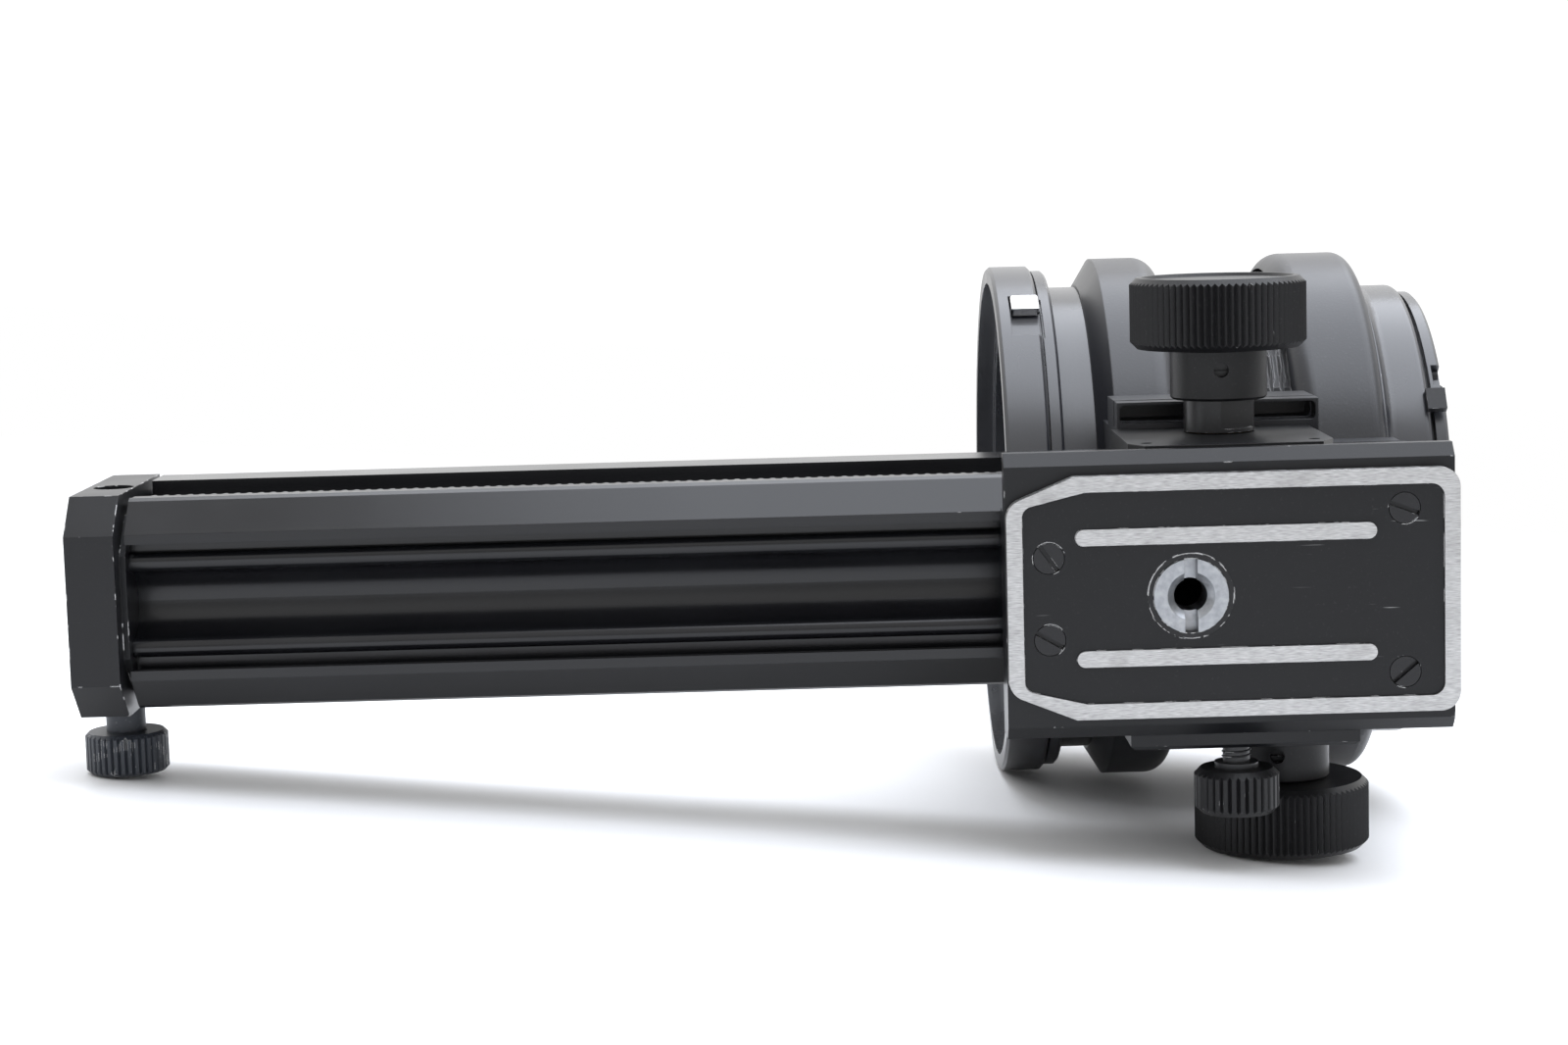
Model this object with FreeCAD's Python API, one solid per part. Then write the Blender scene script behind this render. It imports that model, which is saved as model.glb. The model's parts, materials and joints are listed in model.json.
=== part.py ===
import FreeCAD, Part
import math
import os

# Macro bellows unit on a geared focusing rail, lying on its side.
# +X runs along the rail towards the camera end, +Y points away from the tripod face,
# +Z is the direction of the knob axes. All sizes are millimetres. The values below are
# measured from the outer face of the tripod plate; save() then puts the origin at the
# mouth of the thread of the tripod socket, bush_recess + bush_mouth behind that face.

V = FreeCAD.Vector
os.makedirs("parts", exist_ok=True)

# ---- driving dimensions -------------------------------------------------------------
centre_z = 1.0              # mid plane of the rail and height of the optical axis

# tripod plate and its fittings
plate_left = -28.0
plate_right = 41.0
plate_half = 18.7
plate_thick = 2.4
plate_corner_x = 10.3       # long chamfers at the left end
plate_corner_z = 4.2
plate_radius = 3.0          # round corners at the right end
plate_soft_corner = 3.2     # rounds where the chamfers meet the left edge
rim_width = 2.4
rim_height = 0.5            # rim and strips stand above the plate's floor
inlay_thick = 0.4
strip_z = plate_half / 2
strip_width = 2.5
strip_left = plate_left + 10.5
strip_right = plate_right - 12.7
plate_screw_r = 2.45
plate_screw_gap = 0.1       # round the head
plate_slot_width = 0.7
plate_slot_depth = 0.9
plate_slot_turns = (55, 30, 21, -40)
plate_screw_left_x = plate_left + 6.4
plate_screw_left_z = 6.3
plate_screw_right_x = plate_right - 8.4
plate_screw_right_z = plate_half - 6.1
bush_r = 5.7
bush_seat_r = 6.6
bush_bore_r = 2.55          # minor radius of a quarter inch thread
bush_length = 7.6
bush_recess = 0.1           # face of the bush behind the face of the plate
bush_mouth = 1.1            # countersink in front of the thread
bush_slot = 2.0
bush_slot_depth = 2.6

# rail section, measured from the mid plane
rail_length = 205.6
rail_right = 41.0
rail_left = rail_right - rail_length
lip_front = 11.6
lip_inner = 9.95
lip_outer = 11.5
lip_thick = 1.8
rail_chamfer = 5.2
land_half = lip_outer + rail_chamfer
corner_run = 0.95           # flatter facet between the chamfer and the land
corner_rise = 0.45
groove_inner = 8.3
groove_outer = 11.2
groove_floor = 16.2
shoulder_front = 14.1
shoulder_z = 6.9
trough_half = 5.4
trough_edge = 15.1
trough_floor = 20.2

# rack and pinion
module = 0.6
pinion_teeth = 22
tooth_height = 1.15
pinion_gap = 0.25           # radial gap at the tips of the teeth
pitch_r = module * pinion_teeth / 2
rack_front = lip_front + rail_chamfer + 1.0
rack_edge = 3.5             # from the rack's front to its pitch line
drive_y = rack_front + rack_edge + pitch_r
rack_back = rack_front + 10.5
rack_seat = land_half - 2.8
rack_base = 1.3
rack_top = land_half - 0.1
pinion_bottom = rack_seat + rack_base + 0.3
rack_screw_first = rail_left + 12.6
rack_screw_pitch = 42.0
rack_screw_count = int((rail_length - 25) // rack_screw_pitch) + 1
rack_screw_y = rack_back - 3.3
rack_screw_r = 1.75

# back of the rail
wall_front = drive_y + pitch_r + tooth_height / 2 + 0.525
wall_half = land_half + 0.8
wall_floor = rack_seat + 1.1
rail_back = wall_front + 9.4
dovetail_floor = rail_back - 5.5
dovetail_mouth = 8.0
dovetail_wide = 11.0
chamber_front = 24.2
chamber_back = dovetail_floor - 2.7
chamber_inner = 3.2
chamber_outer = 10.8

# tripod block
slab_left = plate_left - 0.1
slab_right = plate_right - 0.35
slab_half = plate_half + 3.45
slab_front = plate_thick
slab_back = slab_front + 3.8
slab_chamfer = 2.0
core_back_gap = 0.3         # between the block's core and the lips of the rail
core_top = lip_outer + 0.5
gib_gap = 0.2
bearing_left = -9.0
bearing_right = 26.4
lower_plate_thick = 2.5
jaw_gap = 0.4

# small screws
gib_screw_sink = 2.0
gib_screw_head_r = 1.6
gib_screw_head = 1.6
gib_screw_r = 0.8
gib_screw_bite = 3.5
plate_shank_share = 0.6
jaw_screw_inset = 4.5
jaw_screw_front = 3.5
jaw_screw_back = 5.0
jaw_screw_sink = 0.3
jaw_screw_head = 1.2
jaw_screw_head_r = 1.7
jaw_screw_r = 1.0
key_screw_head = 2.2
key_screw_r = 1.25
top_screw_inset = 4.0
top_screw_y = 6.2           # from the front of the slider's arm
top_screw_sink = 0.2
top_screw_head = 1.0
top_screw_head_r = 1.6
top_screw_r = 0.9
foot_screw_left = 3.6
foot_screw_right = 4.0
foot_screw_edge = 5.5
foot_screw_head_r = 2.1
foot_screw_r = 1.2
foot_screw_step = 1.8
foot_screw_bite = 2.4
foot_screw_sink = 0.6
ring_screw_r = 1.5
ring_screw_sink = 0.2
ring_screw_depth = 1.4
cap_screw_cone = 1.2
cap_screw_bite = 9.0

# end cap and its thumb screw
plinth_height = 1.0         # narrow step that makes a shadow gap beside the rail
cap_thick = 7.7
cap_right = rail_left - plinth_height
cap_left = cap_right - cap_thick
cap_front = lip_front - 3.2
cap_back = rail_back + 2.0
cap_half = wall_half
cap_chamfer = 5.75
cap_hole_r = 3.2
cap_hole_shift = 0.4        # hole's axis to the right of the cap's middle
cap_hole_y = 27.0
cap_socket_depth = 20.0     # rod socket from the top face
cap_thread_r = 2.0
cap_screw_r = 1.3
cap_screw_head_r = 2.5
thumb_gap = 0.05
thumb_shoulder = 7.4        # shaft inside the cap
thumb_tip = 6.8
thumb_knob_r = 6.6
thumb_knob_top = centre_z - cap_half - 4.4
thumb_knob_height = 6.6

# knobs and drives
upper_x = 8.25
lower_x = 17.65
shaft_r = 5.6
shaft_flat = 4.55
shaft_flat_turn = -148.0    # degrees about the shaft
journal_r = 4.0
hub_r = 7.7
knob_r = 14.0
knob_rim = 1.9              # flat face inside the bevel and the knurl
knob_bevel = 1.1
upper_plate_low = centre_z + wall_half + 0.8
upper_plate_thick = 3.2
upper_plate_top = upper_plate_low + upper_plate_thick
upper_hub_bottom = upper_plate_top + 5.35
upper_hub_height = 8.15
upper_knob_bottom = upper_hub_bottom + upper_hub_height
upper_knob_top = upper_knob_bottom + 11.3
lower_plate_low = -slab_half - lower_plate_thick
lower_hub_top = lower_plate_low - 0.4
lower_hub_height = 8.7
lower_knob_top = lower_hub_top - lower_hub_height
lower_knob_bottom = lower_knob_top - 11.1
set_screw_r = 1.15
set_screw_depth = 1.7       # below the surface of the hub
upper_screw_turn = -4.0     # degrees from the front, towards the cap
lower_screw_turn = -13.0
bush_wall = 1.2
running_gap = 0.05
lock_y = 8.3
lock_knob_r = 6.6
lock_clearance = 1.38       # between the two knobs' rims
lock_reach = knob_r + lock_knob_r + lock_clearance
lock_x = lower_x - math.sqrt(lock_reach ** 2 - (drive_y - lock_y) ** 2)
lock_knob_top = lower_plate_low - 3.5
lock_knob_height = 7.0
lock_screw_r = 2.1
lock_collar_r = 3.4
lock_pad_height = 5.0
lock_tip = centre_z - lip_inner - gib_gap - lock_pad_height

# feet of the standards
foot_front = rail_back + 0.3
foot_back = foot_front + 5.6
foot_low = centre_z - wall_half - 2.0
pad_half = 21.0             # half width of the front casting's foot
rear_pad_half = wall_half - 0.5
pad_depth = 10.0
slider_left = -7.2
slider_right = 25.6
slider_top = upper_plate_top + 4.25
slider_arm_front = wall_front + 0.6
window_low = upper_plate_top + 0.85
window_height = 2.9
window_margin = 0.5
window_depth = 11.0
rear_foot_gap = 0.6
rear_foot_top = centre_z + wall_half
key_gap = 0.2

# standards on the optical axis
lobe_r = 46.9
lobe_wall = 2.6
lobe_round = 4.0
lobe_round_rear = 2.6       # right-hand edge of the rear casting
lobe_slope = 2.8            # length and height of the slope at the front casting's left edge
lobe_slope_rise = 4.6
casting_gap = 0.2           # between a ring and the plate below it
edge_break = 0.5            # small chamfers on the rings
axis_y = foot_back + casting_gap + lobe_r
front_ring_left = -24.0
front_ring_right = -16.6
front_ring_r = lobe_r - 1.0
front_bore_r = front_ring_r - 2.9
second_ring_right = -14.0
seam_width = 0.35           # groove between the two front rings
seam_depth = 1.2
second_ring_r = lobe_r - 1.9
seat_left = -20.8
seat_step = 1.2             # the seat's bore in the front ring is this much narrower
seat_bore_r = front_bore_r - 4.5
front_barrel_r = lobe_r - 5.0
front_barrel_bore = front_barrel_r - 3.4
front_lobe_left = -8.2
front_lobe_right = 6.0
rear_lobe_left = 25.0
rear_lobe_right = 40.6
web_thick = 2.6
web_bore = lobe_r - 10.9
rear_barrel_right = 49.4
rear_barrel_r = lobe_r - 6.2
rear_barrel_bore = rear_barrel_r - 3.5
rear_ring_right = 52.3
collar_thick = 0.6          # collar with a hollow round at the foot of the rear barrel
collar_round = 2.4
neck_width = 0.7            # groove between the rear barrel and its ring
neck_depth = 1.8
notch_angle = 48.0          # degrees from the top towards the tripod face
latch_angle = 57.0
latch_half = 2.0
latch_height = 1.3
latch_grip = 0.8            # length that sits on the barrel
notch_half = 2.2
notch_length = 1.6
rear_ring_r = rear_barrel_r - 1.3
rear_ring_bore = rear_ring_r - 5.9
bayonet_notch = 2.2

# bellows
bellows_half = lobe_r - 8.4
bellows_corner = bellows_half * 0.455
bellows_depth = 7.0
bellows_left = 3.0
bellows_right = 28.5
frame_wall = 2.0

# release lever on the front ring
lever_angle = 28.5          # degrees from the top towards the tripod face
lever_left = -21.4
lever_right = -16.4
lever_width = 4.4
lever_rise = 1.5
lever_travel = 8.0          # degrees


# ---- helpers ------------------------------------------------------------------------
def box(x0, x1, y0, y1, z0, z1):
    return Part.makeBox(x1 - x0, y1 - y0, z1 - z0, V(x0, y0, z0))


def rod_x(x0, x1, radius, y, z):
    return Part.makeCylinder(radius, x1 - x0, V(x0, y, z), V(1, 0, 0))


def rod_y(y0, y1, radius, x, z):
    return Part.makeCylinder(radius, y1 - y0, V(x, y0, z), V(0, 1, 0))


def rod_z(z0, z1, radius, x, y):
    return Part.makeCylinder(radius, z1 - z0, V(x, y, z0), V(0, 0, 1))


def axis_rod(x0, x1, radius):
    return rod_x(x0, x1, radius, axis_y, centre_z)


def axis_tube(x0, x1, outer, inner):
    return axis_rod(x0, x1, outer).cut(axis_rod(x0, x1, inner))


def prism_x(outline, x0, x1):
    """Extrude a closed outline of (y, z) points along X."""
    points = [V(x0, y, z) for y, z in outline]
    return Part.Face(Part.makePolygon(points + points[:1])).extrude(V(x1 - x0, 0, 0))


def prism_z(outline, z0, z1):
    points = [V(x, y, z0) for x, y in outline]
    return Part.Face(Part.makePolygon(points + points[:1])).extrude(V(0, 0, z1 - z0))


def mirror_mid(shape):
    """Mirror a shape in the rail's mid plane."""
    return shape.mirror(V(0, 0, centre_z), V(0, 0, 1))


def group(shapes):
    return Part.makeCompound(shapes)


def chamfer_where(shape, size, test):
    edges = [edge for edge in shape.Edges if test(edge)]
    return shape.makeChamfer(size, edges)


def fillet_where(shape, size, test):
    edges = [edge for edge in shape.Edges if test(edge)]
    return shape.makeFillet(size, edges)


def is_circle(edge, radius):
    return isinstance(edge.Curve, Part.Circle) and abs(edge.Curve.Radius - radius) < 1e-4


def is_outer_circle(edge, radius, right_of):
    """Round edge of that radius at the right-hand end of a ring."""
    return is_circle(edge, radius) and edge.BoundBox.XMin > right_of + 0.5


def save(shape, name):
    """Check a sub-part, move it into the part's frame and write it."""
    if shape.isNull() or not shape.isValid() or shape.Volume <= 0:
        raise ValueError("bad solid: " + name)
    shape.translate(V(0, -bush_recess - bush_mouth, 0))
    shape.exportStep("parts/" + name + ".step")
    print(name, round(shape.Volume, 1))


# ---- rail ---------------------------------------------------------------------------
def rail_half_outline():
    """Edges of the section from the trough's centre round to the dovetail's floor, z >= 0."""
    x = rail_left
    top = centre_z

    def point(y, z):
        return V(x, y, top + z)

    chord = trough_edge - trough_floor
    radius = (trough_half ** 2 + chord ** 2) / (2 * abs(chord))
    half_angle = math.asin(trough_half / radius) / 2
    mid_y = trough_floor - radius + radius * math.cos(half_angle)
    mid_z = radius * math.sin(half_angle)
    edges = [
        Part.Arc(point(trough_floor, 0), point(mid_y, mid_z), point(trough_edge, trough_half)).toShape(),
        Part.Arc(point(trough_edge, trough_half), point(shoulder_front, shoulder_z),
                 point(trough_edge, groove_inner)).toShape(),
    ]
    chamfer_back = lip_front + rail_chamfer
    corners = [
        (trough_edge, groove_inner),
        (groove_floor, groove_inner),
        (groove_floor, groove_outer),
        (lip_front + lip_thick, groove_outer),
        (lip_front + lip_thick, lip_inner),
        (lip_front, lip_inner),
        (lip_front, lip_outer),
        (chamfer_back - corner_rise, land_half - corner_rise),
        (chamfer_back - corner_rise + corner_run, land_half),
        (rack_front, land_half),
        (rack_front, rack_seat),
        (rack_back, rack_seat),
        (rack_back, wall_floor),
        (wall_front, wall_floor),
        (wall_front, wall_half),
        (rail_back, wall_half),
        (rail_back, dovetail_mouth),
        (dovetail_floor, dovetail_wide),
        (dovetail_floor, 0),
    ]
    for start, end in zip(corners, corners[1:]):
        edges.append(Part.makeLine(point(*start), point(*end)))
    return edges


def make_rail():
    half = rail_half_outline()
    mirrored = [mirror_mid(edge) for edge in half]
    wire = Part.Wire(Part.__sortEdges__(half + mirrored))
    rail = Part.Face(wire).extrude(V(rail_right - rail_left, 0, 0))
    chamber = box(rail_left, rail_right, chamber_front, chamber_back,
                  centre_z + chamber_inner, centre_z + chamber_outer)
    rail = rail.cut(chamber).cut(mirror_mid(chamber))
    for y, z in cap_screw_places():
        rail = rail.cut(rod_x(rail_left, rail_left + 10, cap_screw_r, y, z))
    for shape in rack_screw_shapes():
        rail = rail.cut(shape).cut(mirror_mid(shape))
    return rail


def rack_screw_shapes():
    seat = centre_z + rack_seat
    top = seat + rack_base
    shapes = []
    for index in range(rack_screw_count):
        x = rack_screw_first + index * rack_screw_pitch
        head = Part.makeCone(rack_screw_r * 0.55, rack_screw_r, 0.9, V(x, rack_screw_y, top - 0.9))
        shank = rod_z(seat - 2.6, top - 0.9, rack_screw_r * 0.55, x, rack_screw_y)
        shapes.append(shank.fuse(head))
    return shapes


def rack_outline(pinion_x):
    """Plan outline (x, y) of the toothed edge: trapezium teeth that face +Y, one at pinion_x."""
    pitch = math.pi * module
    pitch_line = rack_front + rack_edge
    root = pitch_line - tooth_height / 2
    tip = pitch_line + tooth_height / 2
    start = pinion_x - pitch * math.floor((pinion_x - rail_left - pitch) / pitch)
    points = [(rail_left + 0.2, rack_front), (rail_left + 0.2, root)]
    x = start
    while x < rail_right - pitch:
        points.append((x - 0.30 * pitch, root))
        points.append((x - 0.12 * pitch, tip))
        points.append((x + 0.12 * pitch, tip))
        points.append((x + 0.30 * pitch, root))
        x += pitch
    points.append((rail_right - 0.2, root))
    points.append((rail_right - 0.2, rack_front))
    return points


def make_rack(pinion_x):
    seat = centre_z + rack_seat
    base = box(rail_left + 0.2, rail_right - 0.2, rack_front, rack_back, seat, seat + rack_base)
    teeth = prism_z(rack_outline(pinion_x), seat + rack_base, centre_z + rack_top)
    rack = base.fuse(teeth).removeSplitter()
    for shape in rack_screw_shapes():
        rack = rack.cut(shape)
    return rack


# ---- end cap ------------------------------------------------------------------------
def cap_screw_places():
    low_y = (groove_floor + chamber_front) / 2 - 0.6
    high_y = (dovetail_floor + rail_back) / 2 - 1.6
    high_z = (dovetail_wide + wall_half) / 2
    return [(low_y, centre_z + 8.0), (low_y, centre_z - 8.0),
            (high_y, centre_z + high_z), (high_y, centre_z - high_z)]


def cap_x():
    return (cap_left + cap_right) / 2 + cap_hole_shift


def cap_outline(shrink):
    low = centre_z - cap_half + shrink
    high = centre_z + cap_half - shrink
    front = cap_front + shrink
    back = cap_back - shrink
    return [(front, low + cap_chamfer), (front, high - cap_chamfer),
            (front + cap_chamfer, high), (back, high),
            (back, low), (front + cap_chamfer, low)]


def thumb_top():
    """Shoulder of the thumb screw, inside the cap."""
    return centre_z - cap_half + thumb_shoulder


def make_end_cap():
    cap = prism_x(cap_outline(0), cap_left, cap_right)
    plinth = prism_x(cap_outline(3.6), cap_right, rail_left)
    cap = cap.fuse(plinth).removeSplitter()
    low = centre_z - cap_half
    high = centre_z + cap_half
    cap = cap.cut(rod_z(high - cap_socket_depth, high, cap_hole_r, cap_x(), cap_hole_y))
    cap = cap.cut(rod_z(low, thumb_top() + 0.1, cap_hole_r, cap_x(), cap_hole_y))
    cap = cap.cut(rod_z(low, high, cap_thread_r, cap_x(), cap_hole_y))
    for shape in cap_screw_shapes():
        cap = cap.cut(shape)
    return cap


def cap_screw_shapes():
    shapes = []
    for y, z in cap_screw_places():
        head = Part.makeCone(cap_screw_head_r, cap_screw_r, cap_screw_cone, V(cap_left, y, z), V(1, 0, 0))
        shank = rod_x(cap_left + cap_screw_cone, rail_left + cap_screw_bite, cap_screw_r, y, z)
        shapes.append(head.fuse(shank))
    return shapes


def make_thumb_screw():
    shaft = rod_z(thumb_knob_top, thumb_top(), cap_hole_r - thumb_gap, cap_x(), cap_hole_y)
    tip = rod_z(thumb_top(), thumb_top() + thumb_tip, cap_thread_r - thumb_gap, cap_x(), cap_hole_y)
    return shaft.fuse(tip).removeSplitter()


def plain_knob(x, y, z0, z1, radius, bevel, bore_r, bore_depth, from_top):
    """A turned knob with bevelled rims and a blind bore for its shaft."""
    knob = rod_z(z0, z1, radius, x, y)
    knob = chamfer_where(knob, bevel, lambda e: is_circle(e, radius))
    if from_top:
        return knob.cut(rod_z(z1 - bore_depth, z1, bore_r, x, y))
    return knob.cut(rod_z(z0, z0 + bore_depth, bore_r, x, y))


def make_thumb_knob():
    knob = rod_z(thumb_knob_top - thumb_knob_height, thumb_knob_top, thumb_knob_r, cap_x(), cap_hole_y)
    return chamfer_where(knob, 0.6, lambda e: is_circle(e, thumb_knob_r))


# ---- tripod block -------------------------------------------------------------------
def plate_outline(inset):
    """Edges of the tripod plate's outline: chamfers at the left, round corners at the right."""
    left = plate_left + inset
    right = plate_right - inset
    half = plate_half - inset
    radius = plate_radius - inset * 0.4
    slope = math.hypot(plate_corner_x, plate_corner_z)
    shift = inset * (slope - plate_corner_z) / plate_corner_x
    rise = inset * (slope - plate_corner_x) / plate_corner_z
    cut_z = plate_half - plate_corner_z - rise
    cut_x = plate_left + plate_corner_x + shift

    def point(x, z):
        return V(x, 0, z)

    turn = radius * (1 - math.sqrt(0.5))
    upper = Part.Arc(point(right - radius, half), point(right - turn, half - turn),
                     point(right, half - radius))
    lower = Part.Arc(point(right, radius - half), point(right - turn, turn - half),
                     point(right - radius, -half))
    corners = [(left, -cut_z), (left, cut_z), (cut_x, half), (right - radius, half)]
    edges = [Part.makeLine(point(*a), point(*b)) for a, b in zip(corners, corners[1:])]
    edges.append(upper.toShape())
    edges.append(Part.makeLine(point(right, half - radius), point(right, radius - half)))
    edges.append(lower.toShape())
    edges.append(Part.makeLine(point(right - radius, -half), point(cut_x, -half)))
    edges.append(Part.makeLine(point(cut_x, -half), point(left, -cut_z)))
    return Part.Wire(edges)


def plate_solid(inset, y0, y1):
    face = Part.Face(plate_outline(inset))
    face.translate(V(0, y0, 0))
    solid = face.extrude(V(0, y1 - y0, 0))
    edge_x = plate_left + inset
    radius = plate_soft_corner - inset * 0.6
    return fillet_where(solid, radius, lambda e: abs(e.BoundBox.YLength - (y1 - y0)) < 0.01
                        and e.BoundBox.XMax < edge_x + 0.01 and e.BoundBox.ZLength < 0.01)


def strip_solid(z, y0, y1, grow=0.0):
    half = strip_width / 2 + grow
    bar = box(strip_left + half, strip_right - half, y0, y1, z - half, z + half)
    for x in (strip_left + half, strip_right - half):
        bar = bar.fuse(rod_y(y0, y1, half, x, z))
    return bar.removeSplitter()


def plate_screw_places():
    return [(plate_screw_left_x, plate_screw_left_z), (plate_screw_left_x, -plate_screw_left_z),
            (plate_screw_right_x, plate_screw_right_z), (plate_screw_right_x, -plate_screw_right_z)]


def make_tripod_plate():
    plate = plate_solid(0, 0, plate_thick)
    well = plate_solid(rim_width, 0, rim_height + inlay_thick)
    for sign in (1, -1):
        well = well.cut(strip_solid(sign * strip_z, 0, rim_height + inlay_thick))
    plate = plate.cut(well)
    plate = plate.cut(rod_y(0, plate_thick, bush_seat_r, 0, 0))
    for shape in plate_screw_shapes():
        plate = plate.cut(shape)
    return plate


def make_face_inlay():
    inlay = plate_solid(rim_width, rim_height, rim_height + inlay_thick)
    for sign in (1, -1):
        inlay = inlay.cut(strip_solid(sign * strip_z, 0, plate_thick))
    inlay = inlay.cut(rod_y(0, plate_thick, bush_seat_r, 0, 0))
    for x, z in plate_screw_places():
        inlay = inlay.cut(rod_y(0, plate_thick, plate_screw_r, x, z))
    return inlay


def plate_screw_shapes():
    shapes = []
    for x, z in plate_screw_places():
        head = rod_y(rim_height, plate_thick, plate_screw_r, x, z)
        shapes.append(head.fuse(rod_y(plate_thick, slab_back, plate_screw_r * plate_shank_share, x, z)))
    return shapes


def make_plate_screws():
    screws = []
    half = plate_slot_width / 2
    for shape, place, turn in zip(plate_screw_shapes(), plate_screw_places(), plate_slot_turns):
        x, z = place
        shape = shape.common(rod_y(0, slab_back, plate_screw_r - plate_screw_gap, x, z))
        slot = box(-plate_screw_r, plate_screw_r, rim_height, rim_height + plate_slot_depth, -half, half)
        slot.rotate(V(0, 0, 0), V(0, 1, 0), turn)
        slot.translate(V(x, 0, z))
        screws.append(shape.cut(slot))
    return group(screws)


def make_tripod_bush():
    bush = rod_y(bush_recess, bush_length, bush_r, 0, 0)
    bush = bush.cut(rod_y(0, bush_length, bush_bore_r, 0, 0))
    mouth = Part.makeCone(bush_bore_r + bush_mouth, bush_bore_r, bush_mouth,
                          V(0, bush_recess, 0), V(0, 1, 0))
    bush = bush.cut(mouth)
    slot = box(-bush_slot / 2, bush_slot / 2, 0, bush_slot_depth, -bush_r, bush_r)
    return bush.cut(slot)


def make_seat_ring():
    """Threaded steel ring that the reducing bush screws into."""
    ring = rod_y(0.5, bush_length, bush_seat_r, 0, 0)
    return ring.cut(rod_y(0, bush_length, bush_r, 0, 0))


def core_back():
    return lip_front - core_back_gap


def jaw_top():
    return centre_z - wall_half - jaw_gap


def make_base_plate():
    slab = box(slab_left, slab_right, slab_front, slab_back, -slab_half, slab_half)
    slab = chamfer_where(slab, slab_chamfer, lambda e: e.BoundBox.YMax < slab_front + 0.01
                         and e.BoundBox.XLength > 10)
    core = box(slab_left, slab_right, slab_back, core_back(), -slab_half, centre_z + core_top)
    slab = slab.fuse(core).removeSplitter()
    slab = slab.cut(rod_y(slab_front, core_back(), bush_seat_r, 0, 0))
    for shape in plate_screw_shapes() + gib_screw_shapes():
        slab = slab.cut(shape)
    slab = slab.cut(rod_z(-slab_half, lock_tip + 1.0, lock_screw_r + 0.05, lock_x, lock_y))
    pad = make_lock_pad_pocket()
    return slab.cut(pad)


def make_lock_pad_pocket():
    return box(lock_x - 3, lock_x + 3, lock_y - 0.5, core_back(), lock_tip, lock_tip + lock_pad_height)


def make_lock_pad():
    return box(lock_x - 2.9, lock_x + 2.9, lock_y - 0.4, core_back() + 0.1,
               lock_tip + 0.1, lock_tip + lock_pad_height - 0.1)


def gib_shape():
    """L-shaped sliding bar under the upper lip of the rail."""
    inner = centre_z + groove_inner + gib_gap
    neck = centre_z + lip_inner - gib_gap
    outer = centre_z + groove_outer - gib_gap
    hook = lip_front + lip_thick + gib_gap
    deep = groove_floor - gib_gap
    outline = [(core_back(), inner), (core_back(), neck), (hook, neck), (hook, outer), (deep, outer),
               (deep, inner)]
    return prism_x(outline, slab_left + 1.0, slab_right - 1.0)


def gib_screw_places():
    z = (groove_inner + lip_inner) / 2
    return [(x, centre_z + side * z) for x in (slab_left + 12, slab_right - 12) for side in (1, -1)]


def gib_screw_shapes():
    shapes = []
    seat = slab_back - gib_screw_sink
    for x, z in gib_screw_places():
        head = rod_y(seat - gib_screw_head, seat, gib_screw_head_r, x, z)
        shapes.append(head.fuse(rod_y(seat, core_back() + gib_screw_bite, gib_screw_r, x, z)))
    return shapes


def make_gib(side):
    gib = gib_shape()
    if side < 0:
        gib = mirror_mid(gib)
    for shape in gib_screw_shapes():
        gib = gib.cut(shape)
    return gib


def make_lower_jaw():
    jaw = box(bearing_left, bearing_right, core_back(), rail_back - 1.0, -slab_half, jaw_top())
    jaw = jaw.cut(rod_z(-slab_half, jaw_top(), pinion_tip() + pinion_gap, lower_x, drive_y))
    for shape in lower_plate_screw_shapes():
        jaw = jaw.cut(shape)
    return jaw


def make_lower_bearing_plate():
    low = lower_plate_low
    plate = box(bearing_left, bearing_right, lock_y - 3.4, rail_back - 1.0, low, -slab_half)
    plate = chamfer_where(plate, 0.6, lambda e: e.BoundBox.ZMax < low + 0.01)
    plate = plate.cut(rod_z(low, -slab_half, journal_r + running_gap + bush_wall, lower_x, drive_y))
    plate = plate.cut(rod_z(low, -slab_half, lock_screw_r + 0.05, lock_x, lock_y))
    for shape in lower_plate_screw_shapes():
        plate = plate.cut(shape)
    return plate


def lower_plate_screw_shapes():
    low = lower_plate_low + jaw_screw_sink
    seat = low + jaw_screw_head
    shapes = []
    for x in (bearing_left + jaw_screw_inset, bearing_right - jaw_screw_inset):
        for y in (core_back() + jaw_screw_front, rail_back - jaw_screw_back):
            head = rod_z(low, seat, jaw_screw_head_r, x, y)
            shapes.append(head.fuse(rod_z(seat, jaw_top() - 1.0, jaw_screw_r, x, y)))
    return shapes


# ---- drives -------------------------------------------------------------------------
def pinion_tip():
    return pitch_r + tooth_height / 2 - pinion_gap


def pinion_solid(x, z0, z1):
    """A spur pinion with slim trapezium teeth; a gap between teeth faces the rack."""
    root = pitch_r - tooth_height / 2 - pinion_gap
    tip = pinion_tip()
    step = 2 * math.pi / pinion_teeth
    points = []
    for index in range(pinion_teeth):
        middle = -math.pi / 2 + (index + 0.5) * step
        for share, radius in ((-0.27, root), (-0.10, tip), (0.10, tip), (0.27, root)):
            angle = middle + share * step
            points.append((x + radius * math.cos(angle), drive_y + radius * math.sin(angle)))
    return prism_z(points, z0, z1)


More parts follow.
